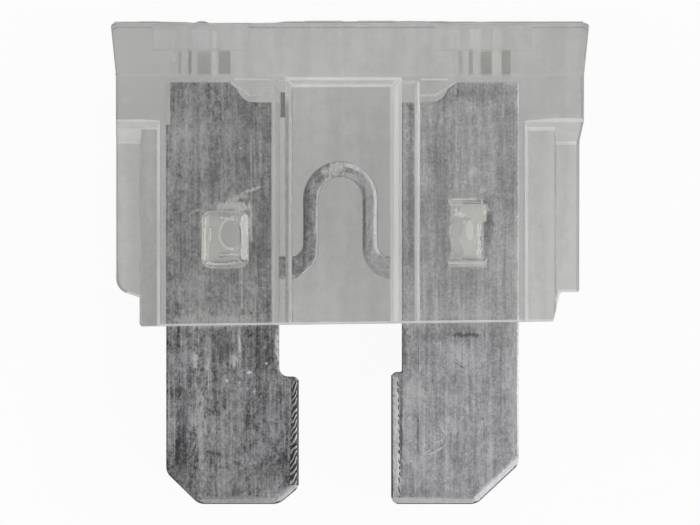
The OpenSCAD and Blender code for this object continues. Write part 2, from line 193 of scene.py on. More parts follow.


# Marks on the front of the element: x, y, half width, half height in mm, turn in
# degrees, and how far they lighten (above 0) or darken (below 0) the zinc
# Most marks are stains, scratches and tone patches; some are painted highlights, glints and shade, noted
# where they stand
LEFT_MARKS = [
    (-5.10, 2.40, 4.00, 7.00, 0, 0.10), (-4.80, -8.90, 2.40, 0.90, 0, 0.20),
    # On the link's bend, in this line and the next: painted highlights
    (-0.65, 3.72, 0.60, 0.34, 25, 1.00), (-1.60, 3.10, 0.40, 0.40, 45, 0.25),
    (-0.40, 3.98, 0.70, 0.06, 0, 0.80),
    (-6.45, 5.10, 1.20, 2.50, 0, 0.20), (-4.10, 4.70, 0.75, 2.10, 0, -0.22),
    (-3.42, 1.10, 0.40, 1.70, 0, -0.40), (-6.20, -1.10, 0.90, 1.40, 0, 0.25),
    (-3.90, -1.30, 0.36, 1.10, 0, 0.30), (-5.20, -2.20, 2.60, 0.50, 0, 0.30),
    (-4.85, -0.70, 0.70, 0.70, 0, -0.20), (-2.93, 2.60, 0.20, 4.80, 0, -0.30),
    (-6.54, 5.60, 0.03, 1.60, 0, 0.50), (-3.96, 4.20, 0.04, 1.20, 0, 0.55),
    (-3.58, 4.20, 0.08, 1.20, 0, 0.45), (-3.90, 2.90, 0.60, 0.09, 18, 0.80),
    (-4.55, 2.55, 0.60, 0.16, 15, 0.70), (-4.80, 2.26, 0.80, 0.26, 3, 0.95),
    (-4.40, 2.20, 0.40, 0.26, 10, 1.00), (-3.98, 1.50, 0.10, 0.90, 0, 0.80),
    (-6.20, 2.05, 0.30, 0.05, 30, 0.60), (-4.32, -1.20, 0.04, 1.20, 0, 0.90),
    # Two bright flecks on the left blade inside the plastic: painted glints
    (-4.38, 4.56, 0.06, 0.06, 0, 1.00), (-5.78, 3.80, 0.03, 0.14, 25, 0.70),
    (-6.26, -0.40, 0.02, 0.70, 0, 0.50), (-7.10, 0.40, 0.03, 1.40, 0, 0.40),
    (-3.50, -1.00, 0.30, 0.02, 0, 0.60), (-5.60, 1.60, 0.16, 0.70, 0, 0.40),
    (-6.68, -6.72, 0.32, 2.10, 0, -0.50), (-5.98, -6.60, 0.28, 2.60, 2, 0.55),
    (-5.00, -3.45, 0.52, 0.75, 0, -0.50), (-3.60, -4.00, 0.55, 1.60, 0, -0.40),
    (-4.80, -6.60, 1.00, 1.30, 0, 0.18), (-3.30, -8.40, 0.50, 0.80, 0, -0.30),
    (-2.38, -8.75, 0.22, 0.36, -25, -0.75), (-5.38, -7.64, 0.50, 0.10, -12, -0.60),
    (-4.58, -8.00, 0.30, 0.09, -25, -0.60), (-5.20, -8.20, 0.50, 0.07, -4, -0.40),
    (-6.06, -3.06, 0.04, 0.45, 0, 0.70), (-4.42, -3.20, 0.06, 0.55, 3, 1.00),
    (-7.24, -5.50, 0.04, 2.80, 0, 0.45), (-7.02, -6.60, 0.03, 2.60, 0, 0.40),
    (-6.74, -3.10, 0.03, 0.45, 0, 0.50), (-5.58, -4.60, 0.02, 0.60, 0, 0.60),
    (-6.18, -3.90, 0.16, 0.40, 0, 0.75), (-5.68, -4.00, 0.12, 0.50, 0, 0.50),
    (-5.09, -2.36, 2.50, 0.34, 0, 0.45), (-5.66, -4.70, 0.03, 0.60, 0, 0.80),
    (-4.64, -3.90, 0.20, 0.40, 0, 0.70), (-2.93, -3.40, 0.10, 0.90, 0, 0.80),
    # Bright dots on the left blade, in this line and the next two: painted glints
    (-4.02, -4.40, 0.13, 0.09, 0, 1.00), (-4.90, -4.72, 0.08, 0.08, 0, 1.00),
    (-4.42, -4.80, 0.06, 0.06, 0, 0.90), (-4.10, -5.04, 0.06, 0.05, 0, 0.90),
    (-3.82, -5.16, 0.06, 0.05, 0, 0.90), (-3.34, -4.04, 0.06, 0.05, 0, 0.90),
]
RIGHT_MARKS = [
    # On the link, in this line and the next: painted highlights, and a dark line along the right leg's
    # inner edge, painted shade
    (0.00, 3.72, 0.60, 0.34, -25, 1.00), (0.87, 1.60, 0.34, 2.00, 0, 0.60),
    (0.20, 3.30, 0.50, 0.06, -30, 0.60), (0.57, 1.60, 0.07, 1.40, 0, -0.70),
    (3.55, 3.40, 0.60, 3.30, 0, -0.30), (2.40, 2.60, 0.20, 5.00, 0, -0.45),
    (5.55, 1.40, 0.28, 0.95, 0, -0.55), (4.90, 6.75, 2.00, 0.45, 0, -0.35),
    (6.50, -0.90, 0.34, 1.80, 0, 0.28), (4.60, -0.50, 0.60, 0.60, 0, -0.20),
    (4.50, 4.60, 0.03, 0.70, 0, 0.60), (4.32, 6.80, 0.05, 0.35, 0, -0.70),
    # Bright flecks on the right blade inside the plastic, in this line and the next two: painted glints
    (4.90, 3.60, 0.25, 0.20, 20, 0.80), (5.30, 2.90, 0.20, 0.12, 30, 0.80),
    (4.62, 3.20, 0.12, 0.10, 0, 0.80), (4.30, 3.75, 0.05, 0.30, 0, 0.60),
    (5.55, 2.10, 0.06, 0.08, 0, 0.80), (5.60, 3.50, 0.30, 0.30, 0, 0.30),
    (4.00, -0.90, 0.10, 0.40, 0, 0.30), (3.95, -1.15, 0.06, 0.06, 0, 0.80),
    # The second mark here is a dark slit of shade by the cavity: painted shade
    (4.40, -2.10, 2.40, 0.26, 0, 0.30), (2.44, 6.20, 0.12, 0.50, 0, -0.50),
    (3.70, -2.90, 2.10, 0.40, 0, -0.30),
    (4.70, -2.90, 0.80, 0.11, 0, -0.60), (6.58, -5.20, 0.36, 3.20, 0, 0.50),
    (2.62, -5.15, 0.52, 0.65, 0, 0.40), (2.20, -3.40, 0.20, 1.00, 0, -0.50),
    # The first mark here darkens the groove beside the right burr: painted shade
    (2.04, -7.00, 0.10, 2.50, 0, -0.75), (2.72, -6.70, 0.03, 0.80, 0, -0.55),
    (3.30, -4.70, 0.03, 0.35, 0, -0.50), (2.74, -3.80, 0.02, 1.00, 0, -0.35),
    (4.42, -4.14, 0.28, 0.05, -35, -0.50), (5.30, -6.24, 0.09, 0.09, 0, -0.50),
    (2.78, -6.00, 0.03, 3.40, 0, 0.40), (3.86, -6.00, 0.03, 3.40, 0, 0.40),
    (3.10, -7.55, 0.30, 0.03, 25, 0.90), (3.55, -7.15, 0.32, 0.03, 20, 0.80),
    (3.75, -6.75, 0.04, 0.40, 25, 0.80), (3.30, -6.95, 0.30, 0.025, -10, 0.50),
    (3.60, -7.45, 0.26, 0.05, 30, 1.00), (3.30, -7.62, 0.30, 0.04, 15, 1.00),
    (3.00, -7.30, 0.20, 0.04, 40, 0.70), (3.72, -7.05, 0.16, 0.05, 65, 0.90),
    (3.46, -6.80, 0.28, 0.03, -25, 0.60), (3.40, -8.60, 0.16, 0.04, -50, 0.60),
]
# The marks go through the whole sheet, and fade out between these shares of their ovals
MARK_DEPTH = 100
MARK_EDGE = (1.2, 0.5)
# Colours of the marks: for stains, scratches and patches, and also for painted highlights, glints and
# shade
PALE_MARK = (0.95, 0.95, 0.95, 1)
DARK_MARK = (0.07, 0.07, 0.075, 1)
# Tones of the rolled sheet, slightly blue, and where in mm its darker left half turns lighter: partly dull
# stains, partly painted shade and painted light from the right
BLUE = 1.03
DULL_SHADED_TONES = (0.10, 0.60)
FRESH_LIT_TONES = (0.38, 0.84)
FRESH_LIT_X = (-1.1, 0.7)


def mark(tree, place, ragged, x, y, half_w, half_h, turn):
    """1 inside a ragged oval, 0 outside it."""
    local = add(tree, "ShaderNodeMapping", {
        "Vector": place, "Location": (x, y, MIDDLE_Z * PER_MM),
        "Rotation": (0, 0, math.radians(turn)), "Scale": (half_w, half_h, MARK_DEPTH)},
        vector_type="TEXTURE").outputs["Vector"]
    reach = add(tree, "ShaderNodeVectorMath", {0: local}, operation="LENGTH").outputs["Value"]
    return remap(tree, maths(tree, "ADD", reach, ragged), *MARK_EDGE)


def zinc(name, rough, dull_shaded_tones, fresh_lit_tones, spread, marks=()):
    """Rolled zinc with uneven tones: darker and duller on the left blade, lighter and fresher on the right
    one, partly stains and partly painted shade and painted light from the right.
    """
    material, tree = new_material(name)
    place = in_mm(tree)
    axes = add(tree, "ShaderNodeSeparateXYZ", {0: place}).outputs
    # Share towards the right blade: its lighter tones are partly fresher zinc, partly painted light from
    # the right
    right = remap(tree, axes["X"], *FRESH_LIT_X)
    front = maths(tree, "GREATER_THAN", axes["Z"], MIDDLE_Z * PER_MM)
    patches = grain(tree, place, scale=0.7)
    mottle = grain(tree, place, scale=3.2, detail=8.0, rough=0.72, stretch=(1.3, 0.8, 1.0), swirl=0.5)
    streaks = grain(tree, place, scale=1.0, detail=6.0, rough=0.62, stretch=(5.0, 0.3, 5.0), swirl=0.3)
    hairs = grain(tree, place, scale=1.0, detail=3.0, rough=0.6, stretch=(20.0, 0.3, 20.0))
    fine = grain(tree, place, scale=11.0, detail=3.0, rough=0.6)
    level = blend(tree, [
        (patches, 0.6), (mottle, remap(tree, right, 0, 1, 1.1, 0.7)),
        (streaks, 0.9), (hairs, 0.5), (fine, 0.8)])
    middle = remap(tree, right, 0, 1, 1.95, 1.75)
    share = remap(tree, maths(tree, "SUBTRACT", level, middle), -spread, spread)
    dull_shaded = ramp(tree, share, *((tone, tone, BLUE * tone) for tone in dull_shaded_tones))
    fresh_lit = ramp(tree, share, *((tone, tone, BLUE * tone) for tone in fresh_lit_tones))
    colour = mix_colours(tree, right, dull_shaded, fresh_lit)
    torn = grain(tree, place, scale=6.0, detail=5.0, rough=0.75, stretch=(1.6, 0.7, 1.0))
    ragged = remap(tree, torn, 0.25, 0.75, -0.7, 1.1)
    for x, y, half_w, half_h, turn, tone in marks:
        inside = mark(tree, place, ragged, x, y, half_w, half_h, turn)
        inside = maths(tree, "MULTIPLY", maths(tree, "MULTIPLY", inside, front), abs(tone))
        colour = mix_colours(tree, inside, colour, PALE_MARK if tone > 0 else DARK_MARK)
    relief = blend(tree, [(mottle, 1.0), (streaks, 0.4), (fine, 0.3)])
    bump = add(tree, "ShaderNodeBump", {
        "Height": relief, "Strength": remap(tree, right, 0, 1, 0.5, 0.3), "Distance": ZINC_RELIEF})
    body = add(tree, "ShaderNodeBsdfPrincipled", {
        "Base Color": colour, "Metallic": 1.0,
        "Roughness": remap(tree, mottle, 0.3, 0.7, *rough), "Normal": bump.outputs["Normal"]})
    add(tree, "ShaderNodeOutputMaterial", {"Surface": body.outputs["BSDF"]})
    return material


# Meshes

MERGE = 0.022 * MM
FLAT_ANGLE = math.radians(0.6)
SHARP_ANGLE = math.radians(20)
PROBE_STEP = 0.01 * MM
LARGE_FACE = 0.3 * MM ** 2
MARGIN = 0.01 * MM
CREASE = math.radians(35)
ZINC_CREASE = math.radians(40)
LIP_CREASE = math.radians(60)


def solid_copy(node):
    """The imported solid's faces as a welded mesh without its triangles."""
    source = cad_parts[node]
    shape = bmesh.new()
    shape.from_mesh(source.data)
    shape.transform(source.matrix_world)
    bmesh.ops.remove_doubles(shape, verts=shape.verts, dist=MERGE)
    bmesh.ops.dissolve_limit(
        shape, angle_limit=FLAT_ANGLE, verts=shape.verts, edges=shape.edges,
        use_dissolve_boundaries=False)
    shape.normal_update()
    return shape


def new_piece(name, shape, materials, node=None):
    mesh = bpy.data.meshes.new(name)
    shape.to_mesh(mesh)
    shape.free()
    piece = bpy.data.objects.new(name, mesh)
    scene.collection.objects.link(piece)
    for material in materials:
        mesh.materials.append(material)
    mesh.shade_smooth()
    normals = piece.modifiers.new("normals", "WEIGHTED_NORMAL")
    normals.keep_sharp = True
    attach(piece, "root")
    if node:
        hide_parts(node)


def mark_sharp(shape, angle):
    """Creases at sharp edges, and around large faces, which stay flat."""
    large = {f for f in shape.faces if f.calc_area() > LARGE_FACE}
    for edge in shape.edges:
        limit = FLAT_ANGLE if large.intersection(edge.link_faces) else angle
        edge.smooth = not (edge.is_manifold and edge.calc_face_angle() > limit)


def sharp_edges(shape, wanted):
    return [
        e for e in shape.edges
        if e.is_manifold and e.calc_face_angle() > SHARP_ANGLE and wanted(e)]


def round_edges(shape, edges, width, segments, material=-1):
    bmesh.ops.bevel(
        shape, geom=edges, offset=width, offset_type="OFFSET", segments=segments,
        profile=0.5, affect="EDGES", clamp_overlap=False, loop_slide=False, material=material)


def near(value, target, margin=MARGIN):
    return abs(value - target) < margin


def ease(value, start, end):
    """0 at the start, 1 at the end, smooth between them."""
    share = min(max((value - start) / (end - start), 0.0), 1.0)
    return share * share * (3 - 2 * share)


# Housing

OUTER, EDGE, RIM, INNER, INNER_EDGE, LINE, HIGHLIGHT_WALL, SHADED_STRIP, MELT, HAZE, MILK, FROST = range(12)
LENS, FACET, SIDE, ROUND = range(12, 16)
# Radii of the rounded edges
EDGE_R = 0.1 * MM
SHOULDER_R = 0.05 * MM
CORNER_R = 0.04 * MM
LEFT_SIDE_R = 0.3 * MM
RIGHT_SIDE_R = 0.22 * MM
CEILING_R = 0.16 * MM
SLOT_END_R = 0.12 * MM
HEAD_FOOT_R = 0.05 * MM
# Heights over the middle of the sheet
PAD_FACE = 2.35 * MM
FIN_REACH = 1.2 * MM
CAVITY_FACE = 1.0 * MM
SLOT_FACE = 0.365 * MM
# Places along the length
DIGIT_FOOT = 9.5 * MM
RIM_Y = 9.4 * MM
HEAD_FOOT = 7.48 * MM
CEILING = 7.3 * MM
CEILING_MARGIN = 0.1 * MM
WINDOW_TOP = 6.5 * MM
SHOULDER_Y = 5.4 * MM
SHOULDER_REACH = 0.8 * MM
SLOPE_SPLIT = 5.36 * MM
# Places across the width
DIGIT_REACH = 2.0 * MM
RIM_X = 8.9 * MM
CORE_X = -0.3 * MM
PAD_WALL = 7.34 * MM
STRIP_X = -0.08 * MM
STRIP_WALL = 8.26 * MM
LEFT_STRIP = -8.0 * MM
LEFT_EDGE = -8.2 * MM
LEFT_SLOPE = -7.7 * MM
RIGHT_FACET = 7.5 * MM
LEFT_WINDOW = -2.44 * MM
WINDOW_WALL = 1.84 * MM
WALL_MARGIN = 0.15 * MM
PAD_MARGIN = 0.1 * MM
STRIP_MARGIN = 0.4 * MM
WINDOW_MARGIN = 0.35 * MM
UPRIGHT_MARGIN = 0.2 * MM
# Corners that take a smaller radius
FOOT_CORNER_Y = -2.3 * MM
HEAD_CORNER_X = 9.2 * MM
HEAD_CORNER_Y = 9.3 * MM
# Ends of the slot, where they meet the test points
SLOT_TIPS = (-4.75 * MM, 4.15 * MM)
TIP_DROP = 0.05 * MM
TIP_REACH = 0.1 * MM
TIP_MARGIN = 0.05 * MM
SLOT_END_DROP = 0.6 * MM
# Shares of a face's normal
LEVEL = 0.9
UPRIGHT = 0.1
FOOT_LEAN = -0.3
# Punch marks
PIT_DEPTH = 1.3 * MM
PIT_STEPS = 64
PIT_FLOOR = 0.9
RIDGE_RISE = 0.12
RIDGE_SWAY = 1.7
RIDGE_SHIFT = 0.05
# Seed of the ridges' sway, so that each run gives the same ridges
RIDGE_SEED = 1
RIDGE_FOOT = 1.5
RIDGE_CREST = 0.4
WHITE_CREST = 0.5
SUNK = 0.1
BACK_SEED = 0.1
# Ridges of melted plastic in the punch marks: half width, then the line they follow, in
# mm from the mark's centre
LEFT_RIDGES = [
    (0.045, [(-0.70, 0.90), (-0.69, 0.20), (-0.71, -0.80)]), (0.04, [(-0.50, 0.46), (-0.49, -0.04)]),
    (0.05, [(-0.12, 0.90), (0.12, 0.84), (0.42, 0.90)]),
    (0.045, [(-0.10, -0.64), (0.30, -0.58), (0.64, -0.58)]),
    (0.06, [(-0.60, -0.92), (-0.30, -1.00), (0.10, -1.00), (0.50, -0.92)]),
    (0.13, [(0.86, 0.90), (0.86, -0.70)]),
]
RIGHT_RIDGES = [
    (0.04, [(0.44, 0.42), (0.44, -0.94)]),
    (0.05, [(-0.48, 0.96), (-0.42, 0.70)]), (0.04, [(-0.66, 1.33), (0.30, 1.31)]),
    (0.05, [(-0.70, -1.20), (0.00, -1.22), (0.66, -1.18)]), (0.07, [(0.62, 1.02), (0.66, 0.78)]),
]
# Left punch mark in mm from its centre: a rounded well, and a lens in it
LEFT_WELL_U = 0.10
LEFT_WELL_HALF = (0.92, 1.12)
LEFT_WELL_POWER = 6
LEFT_WELL_EDGE = (1.2, 0.75)
LEFT_LENS = (0.34, 0.22, 0.45, 0.57)
LENS_RIM = (0.97, 1.13)
LENS_RIM_END = 0.45
CLEAR_BAND = (-0.92, -0.70)
CLEAR_BAND_START = -0.35
LEFT_MILK_END = -0.55
# Right punch mark in mm from its centre: a well with wavy sides, and lips under and over it
WELL_LEFT = -0.6
BULGE = 0.13
BULGE_V = 0.1
BULGE_HALF = 0.22
WELL_RIGHT = 0.48
STEP = 0.24
STEP_V = (0.36, 0.54)
WAVE = 0.03
LEFT_WAVES = 5
RIGHT_WAVES = 7
WELL_OUTSIDE = 0.06
WELL_INSIDE = 0.04
WELL_TOP = (1.14, 1.04)
WELL_FOOT = (-1.00, -0.92)
FOOT_LIP_U = (0.78, 0.72)
FOOT_LIP_V = ((-1.38, -1.32), (-1.02, -1.08))
FOOT_LIP_DEPTH = 0.3
TOP_LIP_SHIFT = 0.1
TOP_LIP_U = (0.68, 0.62)
TOP_LIP_V = ((1.40, 1.34), (1.10, 1.16))
TOP_LIP_DEPTH = 0.2
# White spots of the right mark: painted highlights
HIGHLIGHT_SPOTS = [(0.08, 0.1, 0.16, 0.42), (-0.3, 0.72, 0.24, 0.1)]
HAZE_SPOT = (-0.1, 0.56, 0.25, 0.08)
HAZE_END = -0.25
HAZE_WAVE = 0.1
HAZE_WAVES = 6
MILK_V = (-0.95, 1.05)
MILK_LIP = -1.1


def is_inside(tree, face):
    """True for a wall of the slot, the cavity or a test point: plastic both above and below."""
    point = face.calc_center_median() + face.normal * PROBE_STEP
    return all(tree.ray_cast(point, Vector((0, 0, way)))[0] is not None for way in (1, -1))


def finish_of(tree, face):
    if is_inside(tree, face):
        return INNER
    middle = face.calc_center_median()
    rise = abs(face.normal.z)
    # The left strip's flat faces take a darker tint: painted shade
    if rise > LEVEL and near(middle.x, LEFT_STRIP, STRIP_MARGIN):
        return SHADED_STRIP
    if not UPRIGHT < rise < LEVEL:
        return OUTER
    # The right window wall is milky white, standing in for the bright line that refracted light makes
    # there: painted highlight
    if near(middle.x, WINDOW_WALL, WALL_MARGIN):
        return HIGHLIGHT_WALL
    if near(middle.x, LEFT_WINDOW, WALL_MARGIN):
        return SIDE
    faces_foot = face.normal.y < FOOT_LEAN
    window_top = near(middle.x, CORE_X, WINDOW_WALL) and middle.y > WINDOW_TOP
    if faces_foot and (window_top or middle.x > RIGHT_FACET):
        return FACET
    pad_wall = near(abs(middle.x - CORE_X), PAD_WALL, PAD_MARGIN)
    return EDGE if faces_foot or pad_wall else OUTER


def gap_to_line(u, v, points):
    """Distance from a place to a line through points."""
    gaps = []
    for (a, b), (c, d) in zip(points, points[1:]):
        along = ((u - a) * (c - a) + (v - b) * (d - b)) / ((c - a) ** 2 + (d - b) ** 2)
        along = min(max(along, 0.0), 1.0)
        gaps.append(math.hypot(u - a - along * (c - a), v - b - along * (d - b)))
    return min(gaps)


def ridge_height(u, v, ridges, seed):
    """1 on the crest of a ridge, 0 between the ridges."""
    shift = noise.noise_vector(Vector((RIDGE_SWAY * u, RIDGE_SWAY * v, seed))) * RIDGE_SHIFT
    return max(
        ease(gap_to_line(u + shift.x, v + shift.y, points), RIDGE_FOOT * half_w, RIDGE_CREST * half_w)
        for half_w, points in ridges)


def oval_reach(u, v, centre_u, centre_v, half_w, half_h):
    """0 in the middle of an oval, 1 on its rim."""
    return math.hypot((u - centre_u) / half_w, (v - centre_v) / half_h)


def left_melt(u, v):
    """Depth of the left punch mark, 0 to 1: a rounded oblong."""
    half_w, half_h = LEFT_WELL_HALF
    reach = ((u - LEFT_WELL_U) / half_w) ** LEFT_WELL_POWER + (v / half_h) ** LEFT_WELL_POWER
    return ease(reach, *LEFT_WELL_EDGE)


def left_finish(u, v):
    """A clear lens with a white rim in a haze, milky on the left, and a clear band near the foot."""
    lens = oval_reach(u, v, *LEFT_LENS)
    if LENS_RIM[0] < lens < LENS_RIM[1] and u < LENS_RIM_END:
        return FROST
    if lens < 1:
        return LENS
    if CLEAR_BAND[0] < v < CLEAR_BAND[1] and u > CLEAR_BAND_START:
        return MELT
    return MILK if u < LEFT_MILK_END else HAZE


def right_melt(u, v):
    """Depth of the right punch mark, 0 to 1: a wavy well, a shallow lip over and under it."""
    bulge = BULGE * math.exp(-((v - BULGE_V) / BULGE_HALF) ** 2)
    left = WELL_LEFT - bulge + WAVE * math.sin(LEFT_WAVES * v)
    right = WELL_RIGHT + STEP * ease(v, *STEP_V) + WAVE * math.sin(RIGHT_WAVES * v)
    well = min(
        ease(u, left - WELL_OUTSIDE, left + WELL_INSIDE),
        ease(u, right + WELL_OUTSIDE, right - WELL_INSIDE),
        ease(v, *WELL_TOP), ease(v, *WELL_FOOT))
    foot = min(ease(abs(u), *FOOT_LIP_U), *(ease(v, *edge) for edge in FOOT_LIP_V))
    top = min(ease(abs(u + TOP_LIP_SHIFT), *TOP_LIP_U), *(ease(v, *edge) for edge in TOP_LIP_V))
    return max(well, FOOT_LIP_DEPTH * foot, TOP_LIP_DEPTH * top)


def right_finish(u, v):
    """Milky in the well and in the lip under it, hazy on the left, and white in spots near the middle and
    the top: painted highlights.
    """
    if any(oval_reach(u, v, *spot) < 1 for spot in HIGHLIGHT_SPOTS):
        return FROST
    if u < HAZE_END + HAZE_WAVE * math.sin(HAZE_WAVES * v) or oval_reach(u, v, *HAZE_SPOT) < 1:
        return HAZE
    return MILK if MILK_V[0] < v < MILK_V[1] or v < MILK_LIP else MELT


# Punch marks over the stakes: centre, half width, half height in mm, ridges, depth and finish
PITS = [
    (-5.08, 0.92, 1.035, 1.16, LEFT_RIDGES, left_melt, left_finish),
    (4.70, 1.18, 0.81, 1.41, RIGHT_RIDGES, right_melt, right_finish),
]


def melt_pit(shape, centre_x, centre_y, half_w, half_h, ridges, melt, finish, way):
    """Swaps a punch mark's flat walls for uneven ones. The way is 1 in front, -1 behind."""
    x0 = (centre_x - half_w) * MM
    y0 = (centre_y - half_h) * MM
    step_x = 2 * half_w * MM / PIT_STEPS
    step_y = 2 * half_h * MM / PIT_STEPS
    face_z = MIDDLE_Z + way * PAD_FACE

    def in_pit(face):
        middle = face.calc_center_median()
        depth = way * (face_z - middle.z)
        return (near(middle.x, centre_x * MM, half_w * MM) and near(middle.y, centre_y * MM, half_h * MM)
                and MARGIN < depth < PIT_DEPTH + MARGIN)

    walls = [f for f in shape.faces if in_pit(f)]
    bmesh.ops.delete(shape, geom=walls, context="FACES")
    rim = [e for e in shape.edges if e.is_boundary]
    for edge in rim:
        vert = edge.verts[0]
        for left in range(PIT_STEPS, 1, -1):
            edge, vert = bmesh.utils.edge_split(edge, vert, 1 / left)
            edge = next(e for e in vert.link_edges if e.is_boundary and e is not edge)
    grid, ridge, sunk = {}, {}, {}
    for vert in {v for e in shape.edges if e.is_boundary for v in e.verts}:
        key = (round((vert.co.x - x0) / step_x), round((vert.co.y - y0) / step_y))
        grid[key] = vert
    for i in range(1, PIT_STEPS):
        for j in range(1, PIT_STEPS):
            u = half_w * (2 * i / PIT_STEPS - 1)
            v = half_h * (2 * j / PIT_STEPS - 1)
            sunk[i, j] = melt(u, v)
            ridge[i, j] = ridge_height(u, v, ridges, centre_x + BACK_SEED * way)
            depth = sunk[i, j] * (PIT_FLOOR - RIDGE_RISE * ridge[i, j])
            z = face_z - way * depth * PIT_DEPTH
            grid[i, j] = shape.verts.new((x0 + i * step_x, y0 + j * step_y, z))
    for i in range(PIT_STEPS):
        for j in range(PIT_STEPS):
            corners = [(i, j), (i + 1, j), (i + 1, j + 1), (i, j + 1)]
            face = shape.faces.new([grid[c] for c in corners][::way])
            crest = sum(ridge.get(c, 0) for c in corners) / 4
            depth = sum(sunk.get(c, 0) for c in corners) / 4
            middle = face.calc_center_median() / MM
            melted = FROST if crest > WHITE_CREST else finish(middle.x - centre_x, middle.y - centre_y)
            face.material_index = melted if depth > SUNK else OUTER


def merge_slot_tips(shape):
    """Closes the small steps where the slot's slanted ends meet the test points."""
    for tip in SLOT_TIPS:
        for way in (1, -1):
            face_z = MIDDLE_Z + way * SLOT_FACE
            verts = [
                v for v in shape.verts if near(v.co.x, tip, TIP_REACH)
                and near(v.co.y, CEILING - TIP_DROP, TIP_REACH) and near(v.co.z, face_z)]
            bmesh.ops.pointmerge(shape, verts=verts, merge_co=(tip, CEILING - TIP_DROP, face_z))


def split_slopes(shape):
    """Leaves the left shoulder's slopes white only in their lower parts."""
    def on_slope(face):
        return (face.material_index == EDGE and face.normal.y < FOOT_LEAN
                and face.calc_center_median().x < LEFT_SLOPE)

    for face in [f for f in shape.faces if on_slope(f)]:
        bmesh.ops.bisect_plane(
            shape, geom=[face, *face.edges, *face.verts],
            plane_co=(0, SLOPE_SPLIT, 0), plane_no=(0, 1, 0))
    for face in shape.faces:
        if on_slope(face) and face.calc_center_median().y > SLOPE_SPLIT:
            face.material_index = FACET


